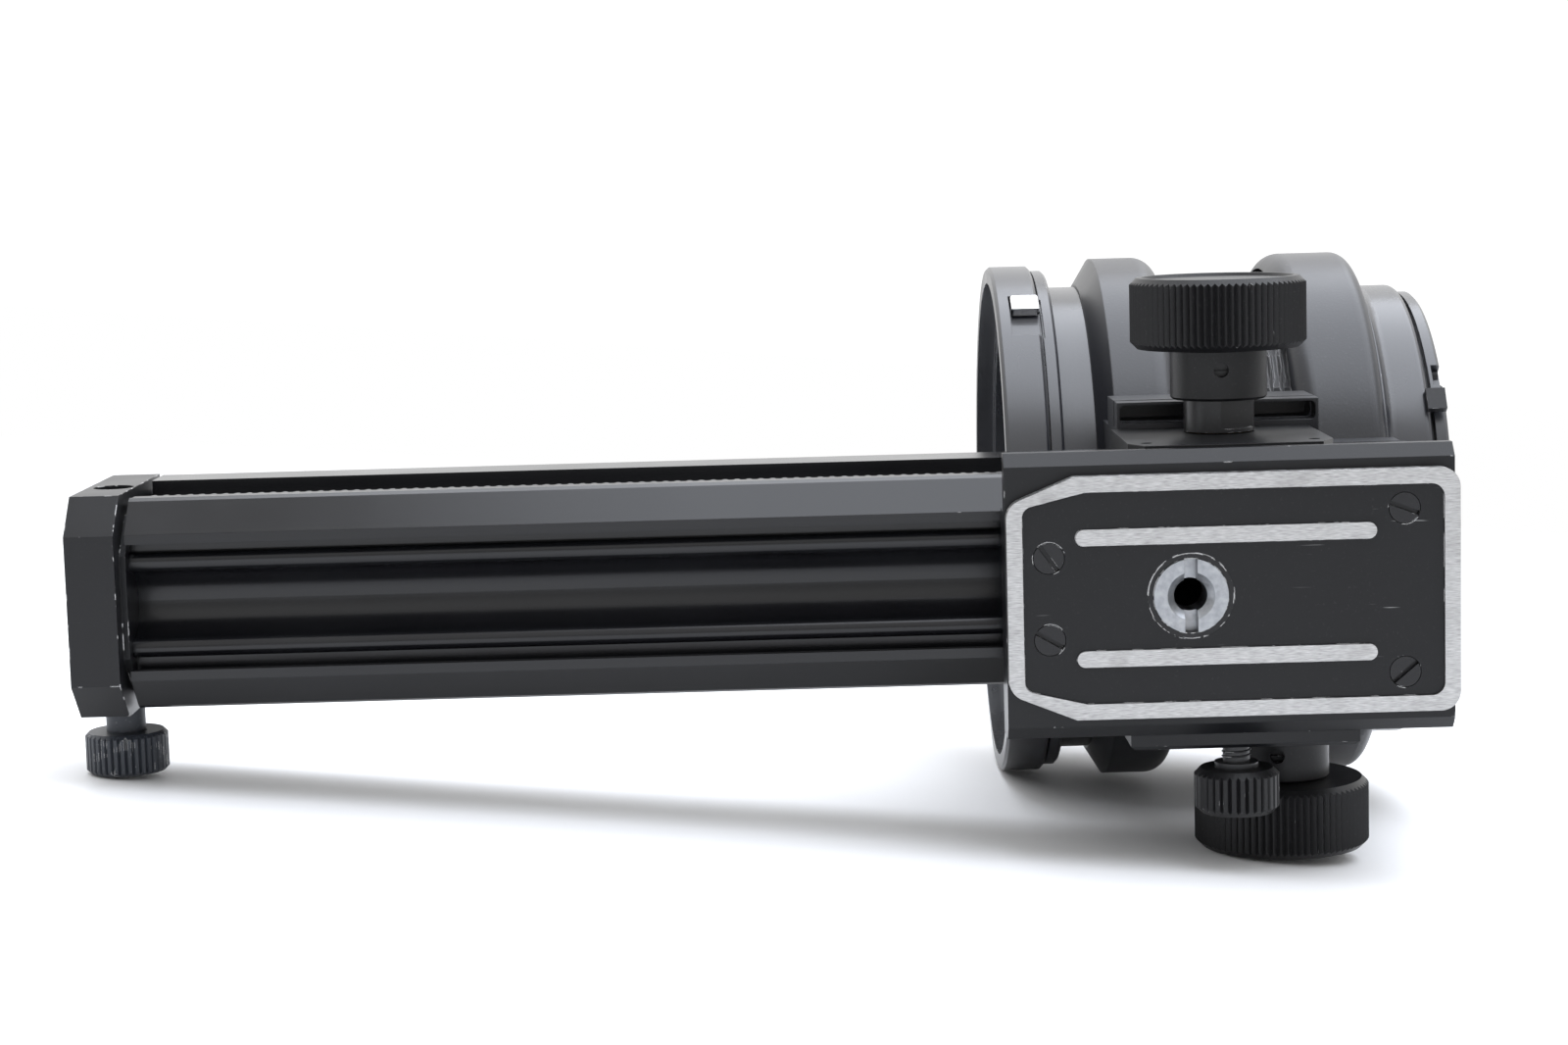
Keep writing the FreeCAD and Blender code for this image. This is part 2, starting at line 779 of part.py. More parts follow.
def make_upper_pinion():
    face = centre_z + pinion_bottom
    pinion = pinion_solid(upper_x, face, upper_plate_low - 0.3)
    journal = rod_z(upper_plate_low - 0.3, upper_plate_top, journal_r, upper_x, drive_y)
    shaft = rod_z(upper_plate_top + 0.2, upper_hub_bottom, shaft_r, upper_x, drive_y)
    spigot = rod_z(upper_hub_bottom, upper_knob_top - 4.0, journal_r, upper_x, drive_y)
    flat = box(-shaft_r, shaft_r, shaft_flat, shaft_r + 1, upper_plate_top + 0.8, upper_hub_bottom)
    flat.rotate(V(0, 0, 0), V(0, 0, 1), shaft_flat_turn)
    flat.translate(V(upper_x, drive_y, 0))
    neck = rod_z(upper_plate_top, upper_plate_top + 0.2, journal_r, upper_x, drive_y)
    return pinion.fuse([journal, neck, shaft.cut(flat), spigot]).removeSplitter()


def make_lower_pinion():
    face = centre_z - pinion_bottom
    pinion = pinion_solid(lower_x, -slab_half + 0.3, face)
    journal = rod_z(lower_hub_top, -slab_half + 0.3, journal_r, lower_x, drive_y)
    spigot = rod_z(lower_knob_bottom + 4.0, lower_hub_top, journal_r, lower_x, drive_y)
    return pinion.fuse([journal, spigot]).removeSplitter()


def make_hub(x, z0, z1, screw_z, turn):
    hub = rod_z(z0, z1, hub_r, x, drive_y).cut(rod_z(z0, z1, journal_r, x, drive_y))
    hub = chamfer_where(hub, 0.4, lambda e: is_circle(e, hub_r))
    hole = rod_y(drive_y - hub_r - 1, drive_y - journal_r, set_screw_r, x, screw_z)
    hole.rotate(V(x, drive_y, screw_z), V(0, 0, 1), turn)
    return hub.cut(hole)


def make_set_screw(x, z, turn):
    face = drive_y - hub_r + set_screw_depth
    screw = rod_y(face, drive_y - journal_r - running_gap, set_screw_r, x, z)
    slot = box(x - set_screw_r, x + set_screw_r, face, face + 0.6, z - 0.2, z + 0.2)
    screw = screw.cut(slot)
    screw.rotate(V(x, drive_y, z), V(0, 0, 1), turn)
    return screw


def make_upper_knob():
    knob = plain_knob(upper_x, drive_y, upper_knob_bottom, upper_knob_top, knob_r, knob_bevel,
                      journal_r, upper_knob_top - 4.0 - upper_knob_bottom, False)
    dish = rod_z(upper_knob_top - 0.5, upper_knob_top, knob_r - knob_rim - 2.2, upper_x, drive_y)
    return knob.cut(dish)


def make_lower_knob():
    return plain_knob(lower_x, drive_y, lower_knob_bottom, lower_knob_top, knob_r, knob_bevel,
                      journal_r, lower_knob_top - lower_knob_bottom - 4.0, True)


def make_drive_bush(x, z0, z1):
    outer = journal_r + running_gap + bush_wall
    return rod_z(z0, z1, outer, x, drive_y).cut(rod_z(z0, z1, journal_r + running_gap, x, drive_y))


def make_lock_screw():
    shank = rod_z(lock_knob_top + 0.9, lock_tip, lock_screw_r, lock_x, lock_y)
    collar = rod_z(lock_knob_top, lock_knob_top + 0.9, lock_collar_r, lock_x, lock_y)
    return shank.fuse(collar).removeSplitter()


def make_lock_knob():
    knob = rod_z(lock_knob_top - lock_knob_height, lock_knob_top, lock_knob_r, lock_x, lock_y)
    return chamfer_where(knob, 0.6, lambda e: is_circle(e, lock_knob_r))


# ---- front standard -----------------------------------------------------------------
def key_shape(x0, x1):
    """Dovetail key that slides in the rail's back slot."""
    run = (dovetail_wide - dovetail_mouth) / (rail_back - dovetail_floor)
    mouth = dovetail_mouth - key_gap * 1.2
    wide = mouth + run * (rail_back - dovetail_floor - key_gap)
    floor = dovetail_floor + key_gap
    outline = [(foot_front, centre_z - mouth), (foot_front, centre_z + mouth),
               (rail_back, centre_z + mouth),
               (floor, centre_z + wide), (floor, centre_z - wide), (rail_back, centre_z - mouth)]
    return prism_x(outline, x0, x1)


def key_screw_shapes(x0, x1):
    shapes = []
    seat = foot_back - key_screw_head
    for x in (x0, x1):
        head = rod_y(seat, foot_back, key_screw_head, x, centre_z)
        shapes.append(head.fuse(rod_y(dovetail_floor + 1.0, seat, key_screw_r, x, centre_z)))
    return shapes


def make_front_slider():
    plate = box(slider_left, slider_right, foot_front, foot_back, foot_low, slider_top)
    arm_low = centre_z + wall_half + jaw_gap
    arm = box(slider_left, slider_right, slider_arm_front, foot_front, arm_low, slider_top)
    slider = plate.fuse(arm).removeSplitter()
    step = box(slider_left, slider_right, slider_arm_front - 1, foot_front - 4,
               upper_plate_top, slider_top + 1)
    web = box(slider_left, slider_right, slider_arm_front, slider_arm_front + 4,
              upper_plate_top, slider_top)
    slider = slider.cut(step).fuse(web).removeSplitter()
    window = box(slider_left + window_margin, slider_right - window_margin,
                 slider_arm_front - 1, slider_arm_front + window_depth,
                 window_low, window_low + window_height)
    window = fillet_where(window, 0.8, lambda e: e.BoundBox.YLength > 5)
    slider = slider.cut(window)
    for shape in key_screw_shapes(front_key_screw_left(), front_key_screw_right()):
        slider = slider.cut(shape)
    for shape in upper_plate_screw_shapes() + front_casting_screw_shapes():
        slider = slider.cut(shape)
    return slider


def front_key_screw_left():
    return slider_left + 6


def front_key_screw_right():
    return slider_right - 6


def make_front_key():
    key = key_shape(slider_left + 0.5, slider_right - 0.5)
    for shape in key_screw_shapes(front_key_screw_left(), front_key_screw_right()):
        key = key.cut(shape)
    return key


def upper_plate_outline():
    left = slider_left - 1.0
    right = slider_right - 2.0
    near = slab_back + 0.4
    far = slider_arm_front
    return [(left + 2.2, near), (right - 2.2, near), (right, near + 4.5), (right, far), (left, far),
            (left, near + 4.5)]


def upper_plate_screw_shapes():
    shapes = []
    y = slider_arm_front + top_screw_y
    top = upper_plate_top - top_screw_sink
    for x in (slider_left + top_screw_inset, slider_right - top_screw_inset):
        head = rod_z(top - top_screw_head, top, top_screw_head_r, x, y)
        shapes.append(head.fuse(rod_z(upper_plate_low, top - top_screw_head, top_screw_r, x, y)))
    return shapes


def make_upper_bearing_plate():
    low = upper_plate_low
    plate = prism_z(upper_plate_outline(), low, upper_plate_top)
    plate = plate.cut(rod_z(low, upper_plate_top, journal_r + running_gap + bush_wall, upper_x, drive_y))
    for x, y in oil_hole_places():
        plate = plate.cut(rod_z(upper_plate_top - 1.5, upper_plate_top, 0.9, x, y))
    return plate


def oil_hole_places():
    return [(upper_x - 13.5, slab_back + 5.0), (upper_x + 12.5, slab_back + 5.0)]


def front_c_ring(x0, x1):
    """Front ring of C section: sloped at the left, rounded at the right, with its web at the left."""
    slope = Part.makeCone(lobe_r - lobe_slope_rise, lobe_r, lobe_slope, V(x0, axis_y, centre_z), V(1, 0, 0))
    ring = slope.fuse(axis_rod(x0 + lobe_slope, x1, lobe_r)).removeSplitter()
    ring = fillet_where(ring, lobe_round, lambda e: is_outer_circle(e, lobe_r, x1 - 1))
    hollow = axis_rod(x0 + web_thick, x1 + 1, lobe_r - lobe_wall)
    return ring.cut(hollow).cut(axis_rod(x0 - 1, x1 + 1, web_bore))


def rear_c_ring(x0, x1):
    """Rear ring of C section: open at the left, with its web at the right."""
    ring = axis_rod(x0, x1, lobe_r)
    ring = fillet_where(ring, lobe_round, lambda e: is_circle(e, lobe_r) and e.BoundBox.XMax < x0 + 1)
    ring = fillet_where(ring, lobe_round_rear, lambda e: is_outer_circle(e, lobe_r, x1 - 1))
    hollow = axis_rod(x0 - 1, x1 - web_thick, lobe_r - lobe_wall)
    return ring.cut(hollow).cut(axis_rod(x0 - 1, x1 + 1, web_bore))


def foot_pad(x0, x1, half):
    """Casting foot that joins a ring to the part it stands on."""
    pad = box(x0, x1, foot_back, foot_back + pad_depth, centre_z - half, centre_z + half)
    keep = axis_rod(x0, x1, lobe_r - lobe_wall)
    return pad.cut(keep)


def make_front_casting():
    ring = front_c_ring(front_lobe_left, front_lobe_right)
    ring = ring.fuse(foot_pad(slider_left, front_lobe_right - 0.5, pad_half)).removeSplitter()
    for shape in front_casting_screw_shapes():
        ring = ring.cut(shape)
    return ring


def front_casting_screw_shapes():
    """Screws from the rail side through the slider into the front casting's foot."""
    shapes = []
    seat = foot_back - foot_screw_step
    for x in (slider_left + foot_screw_left, front_lobe_right - foot_screw_right):
        for side in (1, -1):
            z = centre_z + side * (pad_half - foot_screw_edge)
            shank = rod_y(seat, foot_back + foot_screw_bite, foot_screw_r, x, z)
            shapes.append(shank.fuse(rod_y(foot_front + foot_screw_sink, seat, foot_screw_head_r, x, z)))
    return shapes


def make_front_barrel():
    return axis_tube(second_ring_right, front_lobe_left, front_barrel_r, front_barrel_bore)


def lever_block(x0, x1, inner, outer, half_width, turn=0.0):
    """A block across the rings at the lever's angle, between two radii."""
    block = box(x0, x1, axis_y - half_width, axis_y + half_width, centre_z + inner, centre_z + outer)
    block.rotate(V(0, axis_y, centre_z), V(1, 0, 0), lever_angle + turn)
    return block


def lever_slot(x0, x1, inner):
    """The space that the lever sweeps from rest to the end of its travel."""
    half_width = lever_width / 2 + 0.4
    slot = lever_block(x0, x1, inner, lobe_r + 2, half_width)
    for turn in (lever_travel / 2, lever_travel):
        slot = slot.fuse(lever_block(x0, x1, inner, lobe_r + 2, half_width, turn))
    return slot


def make_front_ring():
    ring = axis_tube(front_ring_left, front_ring_right, front_ring_r, front_bore_r - seat_step)
    ring = ring.cut(axis_rod(front_ring_left - 1, seat_left, front_bore_r))
    ring = chamfer_where(ring, edge_break, lambda e: is_circle(e, front_ring_r))
    return ring.cut(lever_slot(lever_left - 0.3, front_ring_right + 1, front_bore_r + 1.4))


def make_second_ring():
    ring = axis_tube(front_ring_right, second_ring_right, second_ring_r, seat_bore_r + 1.0)
    seam_right = front_ring_right + seam_width
    ring = ring.cut(axis_tube(front_ring_right, seam_right, lobe_r, second_ring_r - seam_depth))
    ring = chamfer_where(ring, edge_break, lambda e: is_outer_circle(e, second_ring_r, front_ring_right))
    return ring.cut(lever_slot(front_ring_right - 1, lever_right + 0.4, front_bore_r + 1.4))


def make_lens_seat():
    seat = axis_tube(seat_left, front_ring_right, front_bore_r - seat_step, seat_bore_r)
    seat = seat.fuse(axis_tube(front_ring_right, second_ring_right, seat_bore_r + 1.0, seat_bore_r))
    return seat.removeSplitter()


def make_release_lever():
    low = front_bore_r + 1.7
    tab = lever_block(lever_left, lever_right, low, low + lever_rise, lever_width / 2)
    tab = fillet_where(tab, 0.5, lambda e: e.BoundBox.XLength < 0.01 or e.BoundBox.XLength > 5)
    return tab


# ---- rear standard ------------------------------------------------------------------
def rear_foot_left():
    return slider_right + rear_foot_gap


def make_rear_casting():
    ring = rear_c_ring(rear_lobe_left, rear_lobe_right)
    ring = ring.fuse(foot_pad(rear_foot_left(), rear_lobe_right, rear_pad_half))
    plate = box(rear_foot_left(), rear_lobe_right, foot_front, foot_back, foot_low, rear_foot_top)
    ring = ring.fuse(plate).removeSplitter()
    for shape in key_screw_shapes(rear_key_screw(), rear_key_screw()):
        ring = ring.cut(shape)
    return ring


def rear_key_screw():
    return (rear_foot_left() + rear_lobe_right) / 2


def make_rear_key():
    key = key_shape(rear_foot_left() + 0.3, rear_lobe_right - 0.3)
    return key.cut(key_screw_shapes(rear_key_screw(), rear_key_screw())[0])


def make_rear_barrel():
    barrel = axis_rod(rear_lobe_right, rear_barrel_right, rear_barrel_r)
    collar = axis_rod(rear_lobe_right, rear_lobe_right + collar_thick, rear_barrel_r + collar_round)
    barrel = barrel.fuse(collar).removeSplitter()
    corner = rear_lobe_right + collar_thick
    barrel = fillet_where(barrel, collar_round - 0.2, lambda e: is_circle(e, rear_barrel_r)
                          and e.BoundBox.XMax < corner + 0.1)
    barrel = fillet_where(barrel, 1.2, lambda e: is_outer_circle(e, rear_barrel_r, corner))
    return barrel.cut(axis_rod(rear_lobe_right - 1, rear_barrel_right + 1, rear_barrel_bore))


def make_rear_ring():
    ring = axis_tube(rear_barrel_right, rear_ring_right, rear_ring_r, rear_ring_bore)
    ring = chamfer_where(ring, edge_break, lambda e: is_outer_circle(e, rear_ring_r, rear_barrel_right))
    notch = box(rear_ring_right - notch_length, rear_ring_right + 1, axis_y - notch_half, axis_y + notch_half,
                centre_z + rear_ring_r - bayonet_notch, centre_z + rear_ring_r + 2)
    notch.rotate(V(0, axis_y, centre_z), V(1, 0, 0), notch_angle)
    neck = axis_tube(rear_barrel_right, rear_barrel_right + neck_width, rear_ring_r + 1,
                     rear_ring_r - neck_depth)
    ring = ring.cut(notch).cut(neck)
    for shape in rear_ring_screw_shapes():
        ring = ring.cut(shape)
    return ring


def rear_ring_screw_shapes():
    middle = (rear_ring_r + rear_ring_bore) / 2
    shapes = []
    for index in range(4):
        angle = math.radians(45 + 90 * index)
        y = axis_y + middle * math.cos(angle)
        z = centre_z + middle * math.sin(angle)
        top = rear_ring_right - ring_screw_sink
        shapes.append(rod_x(rear_ring_right - ring_screw_depth, top, ring_screw_r, y, z))
    return shapes


def make_latch():
    latch = box(rear_barrel_right - latch_grip, rear_ring_right - 0.4, axis_y - latch_half,
                axis_y + latch_half, centre_z + rear_barrel_r, centre_z + rear_barrel_r + latch_height)
    latch.rotate(V(0, axis_y, centre_z), V(1, 0, 0), latch_angle)
    return latch


# ---- bellows and frames -------------------------------------------------------------
def bellows_prism(x0, x1, half):
    corner = bellows_corner * half / bellows_half
    flat = half - corner
    outline = [(-half, -flat), (-half, flat), (-flat, half), (flat, half), (half, flat), (half, -flat),
               (flat, -half), (-flat, -half)]
    return prism_x([(axis_y + y, centre_z + z) for y, z in outline], x0, x1)


def make_bellows():
    outer = bellows_prism(bellows_left + 0.3, bellows_right - 0.3, bellows_half)
    return outer.cut(bellows_prism(bellows_left, bellows_right, bellows_half - bellows_depth))


def make_bellows_frame(x0, x1):
    outer = bellows_prism(x0, x1, bellows_half)
    return outer.cut(bellows_prism(x0, x1, bellows_half - frame_wall))


def main():
    save(make_rail(), "rail_extrusion")
    save(make_rack(upper_x), "upper_rack")
    save(mirror_mid(make_rack(lower_x)), "lower_rack")
    rack_screws = rack_screw_shapes()
    save(group(rack_screws + [mirror_mid(s) for s in rack_screws]), "rack_screws")
    save(make_end_cap(), "end_cap")
    save(group(cap_screw_shapes()), "end_cap_screws")
    save(make_thumb_screw(), "thumb_screw_shaft")
    save(make_thumb_knob(), "thumb_screw_knob")

    save(make_tripod_plate(), "tripod_plate")
    save(make_face_inlay(), "plate_face")
    save(make_plate_screws(), "plate_screws")
    save(make_tripod_bush(), "tripod_bush")
    save(make_seat_ring(), "bush_seat_ring")
    save(make_base_plate(), "base_plate")
    save(make_gib(1), "upper_gib")
    save(make_gib(-1), "lower_gib")
    save(group(gib_screw_shapes()), "gib_screws")
    save(make_lock_pad(), "lock_pad")
    save(make_lower_jaw(), "lower_jaw")
    save(make_lower_bearing_plate(), "lower_bearing_plate")
    save(group(lower_plate_screw_shapes()), "lower_plate_screws")
    save(make_drive_bush(lower_x, lower_plate_low, -slab_half), "lower_bush")

    lower_screw_z = lower_hub_top - 4.2
    save(make_lower_pinion(), "lower_pinion")
    save(make_hub(lower_x, lower_knob_top, lower_hub_top, lower_screw_z, lower_screw_turn), "lower_hub")
    save(make_set_screw(lower_x, lower_screw_z, lower_screw_turn), "lower_set_screw")
    save(make_lower_knob(), "lower_knob")
    save(make_lock_screw(), "lock_screw")
    save(make_lock_knob(), "lock_knob")

    upper_screw_z = upper_hub_bottom + 4.95
    save(make_upper_pinion(), "upper_pinion")
    save(make_hub(upper_x, upper_hub_bottom, upper_knob_bottom, upper_screw_z, upper_screw_turn),
         "upper_hub")
    save(make_set_screw(upper_x, upper_screw_z, upper_screw_turn), "upper_set_screw")
    save(make_upper_knob(), "upper_knob")
    save(make_upper_bearing_plate(), "upper_bearing_plate")
    save(make_drive_bush(upper_x, upper_plate_low, upper_plate_top), "upper_bush")
    save(group(upper_plate_screw_shapes()), "upper_plate_screws")
    save(make_front_slider(), "front_slider")
    save(make_front_key(), "front_key")
    save(group(key_screw_shapes(front_key_screw_left(), front_key_screw_right())), "front_key_screws")

    save(make_front_casting(), "front_casting")
    save(group(front_casting_screw_shapes()), "front_casting_screws")
    save(make_front_barrel(), "front_barrel")
    save(make_front_ring(), "front_ring")
    save(make_second_ring(), "second_ring")
    save(make_lens_seat(), "lens_seat")
    save(make_release_lever(), "release_lever")
    save(make_bellows_frame(front_lobe_left + web_thick, bellows_left), "front_bellows_frame")

    save(make_rear_casting(), "rear_casting")
    save(make_rear_key(), "rear_key")
    save(key_screw_shapes(rear_key_screw(), rear_key_screw())[0], "rear_key_screw")
    save(make_rear_barrel(), "rear_barrel")
    save(make_rear_ring(), "rear_mount_ring")
    save(group(rear_ring_screw_shapes()), "rear_ring_screws")
    save(make_latch(), "rear_latch")
    save(make_bellows_frame(bellows_right, rear_lobe_right - web_thick), "rear_bellows_frame")
    save(make_bellows(), "bellows")


main()
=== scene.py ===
import json
import math

import bmesh
import bpy
from mathutils import Matrix, Vector


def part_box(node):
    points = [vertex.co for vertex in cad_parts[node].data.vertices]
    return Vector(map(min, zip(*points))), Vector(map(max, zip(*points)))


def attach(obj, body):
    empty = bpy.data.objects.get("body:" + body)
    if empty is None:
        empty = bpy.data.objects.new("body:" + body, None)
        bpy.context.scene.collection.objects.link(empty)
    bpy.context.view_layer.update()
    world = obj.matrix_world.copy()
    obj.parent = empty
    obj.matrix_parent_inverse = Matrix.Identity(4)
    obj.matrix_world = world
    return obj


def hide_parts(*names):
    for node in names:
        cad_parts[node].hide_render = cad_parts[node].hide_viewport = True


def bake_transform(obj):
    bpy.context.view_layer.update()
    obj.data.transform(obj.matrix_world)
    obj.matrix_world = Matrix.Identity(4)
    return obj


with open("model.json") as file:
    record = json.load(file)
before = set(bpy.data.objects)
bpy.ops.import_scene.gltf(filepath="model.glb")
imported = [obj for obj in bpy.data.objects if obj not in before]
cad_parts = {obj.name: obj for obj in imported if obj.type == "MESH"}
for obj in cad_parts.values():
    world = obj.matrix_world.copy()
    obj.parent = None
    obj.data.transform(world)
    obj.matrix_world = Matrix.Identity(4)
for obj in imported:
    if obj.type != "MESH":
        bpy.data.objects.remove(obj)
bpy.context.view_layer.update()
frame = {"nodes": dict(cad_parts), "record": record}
nodes = frame["nodes"]
print("frame loaded:", len(nodes), "CAD nodes")

mm = 0.001
lensAxis = Vector((0, 0.0968, 0.001))  # a point on the optical axis, which runs along X


# small helpers for the node trees

def addNode(mat, kind, inputs=None, **settings):
    node = mat.node_tree.nodes.new("ShaderNode" + kind)
    for key, value in settings.items():
        setattr(node, key, value)
    for key, value in (inputs or {}).items():
        node.inputs[key].default_value = value
    return node


def join(mat, fromSocket, toSocket):
    mat.node_tree.links.new(fromSocket, toSocket)


def startMaterial(name):
    mat = bpy.data.materials.new(name)
    mat.use_nodes = True
    return mat, mat.node_tree.nodes["Principled BSDF"]


def objectPoint(mat, stretch=(1, 1, 1), turn=(0, 0, 0)):
    source = addNode(mat, "TexCoord")
    mapping = addNode(mat, "Mapping", {"Scale": stretch, "Rotation": turn})
    join(mat, source.outputs["Object"], mapping.inputs["Vector"])
    return mapping.outputs["Vector"]


def noise(mat, point, scale, detail=2.0, rough=0.5):
    node = addNode(mat, "TexNoise", {"Scale": scale, "Detail": detail, "Roughness": rough})
    join(mat, point, node.inputs["Vector"])
    return node.outputs["Fac"]


def remap(mat, value, low, high, newLow=0.0, newHigh=1.0):
    node = addNode(mat, "MapRange", {"From Min": low, "From Max": high, "To Min": newLow, "To Max": newHigh})
    join(mat, value, node.inputs["Value"])
    return node.outputs["Result"]


def combine(mat, operation, first, second):
    node = addNode(mat, "Math", operation=operation)
    for socket, value in zip(node.inputs, (first, second)):
        if isinstance(value, (int, float)):
            socket.default_value = value
        else:
            join(mat, value, socket)
    return node.outputs["Value"]


def blendColours(mat, factor, first, second):
    node = addNode(mat, "Mix", data_type="RGBA")
    for socket, value in ((node.inputs[0], factor), (node.inputs[6], first), (node.inputs[7], second)):
        if isinstance(value, tuple):
            socket.default_value = value + (1,)
        else:
            join(mat, value, socket)
    return node.outputs[2]


def edgeMask(mat, radius):
    bevel = addNode(mat, "Bevel", {"Radius": radius}, samples=4)
    surface = addNode(mat, "NewGeometry")
    dot = addNode(mat, "VectorMath", operation="DOT_PRODUCT")
    join(mat, bevel.outputs["Normal"], dot.inputs[0])
    join(mat, surface.outputs["Normal"], dot.inputs[1])
    return remap(mat, dot.outputs["Value"], 0.99, 0.86)


def bump(mat, shader, height, depth, softEdge=0.0):
    node = addNode(mat, "Bump", {"Strength": 1.0, "Distance": depth})
    join(mat, height, node.inputs["Height"])
    if softEdge:
        bevel = addNode(mat, "Bevel", {"Radius": softEdge}, samples=4)
        join(mat, bevel.outputs["Normal"], node.inputs["Normal"])
    join(mat, node.outputs["Normal"], shader.inputs["Normal"])


# black finishes: paint or anodising over metal, rubbed through in places at its edges

def blackFinish(name, look):
    mat, shader = startMaterial(name)
    point = objectPoint(mat, look.get("stretch", (1, 1, 1)))
    plain = objectPoint(mat)
    cloud = noise(mat, plain, look.get("cloudScale", 45), 4)
    grain = noise(mat, point, look["grainScale"], 3)
    colour = blendColours(mat, remap(mat, cloud, 0.3, 0.7), look["dark"], look["light"])
    speckle = remap(mat, grain, 0.62, 0.8, 0, look.get("speckle", 0.25))
    colour = blendColours(mat, speckle, colour, look["wearAndHighlight"])
    edge = edgeMask(mat, look["edge"])
    chips = remap(mat, noise(mat, plain, look.get("chipScale", 420), 3), 1 - look["chips"], 1.02 - look["chips"])
    colour = blendColours(mat, combine(mat, "MULTIPLY", edge, chips), colour, look["bare"])
    if "scratches" in look:
        streaks = noise(mat, objectPoint(mat, (0.035, 1, 1), turn=(0, look["scratchTurn"], 0)), 2600, 1)
        patches = remap(mat, noise(mat, plain, 55, 1), 0.52, 0.62)
        line = combine(mat, "MULTIPLY", remap(mat, streaks, 0.74, 0.78), patches)
        colour = blendColours(mat, combine(mat, "MULTIPLY", line, look["scratches"]), colour, look["bare"])
    join(mat, colour, shader.inputs["Base Color"])
    rough = remap(mat, cloud, 0.3, 0.7, look["rough"][0], look["rough"][1])
    join(mat, rough, shader.inputs["Roughness"])
    shader.inputs["Specular IOR Level"].default_value = look.get("gloss", 0.5)
    height = grain
    if "ringLines" in look:
        across = objectPoint(mat, (look["ringLines"], 0, 0))
        turned = noise(mat, across, 1.0, 2)
        height = combine(mat, "ADD", grain, turned)
    bump(mat, shader, height, look["grainDepth"], look["soft"])
    return mat


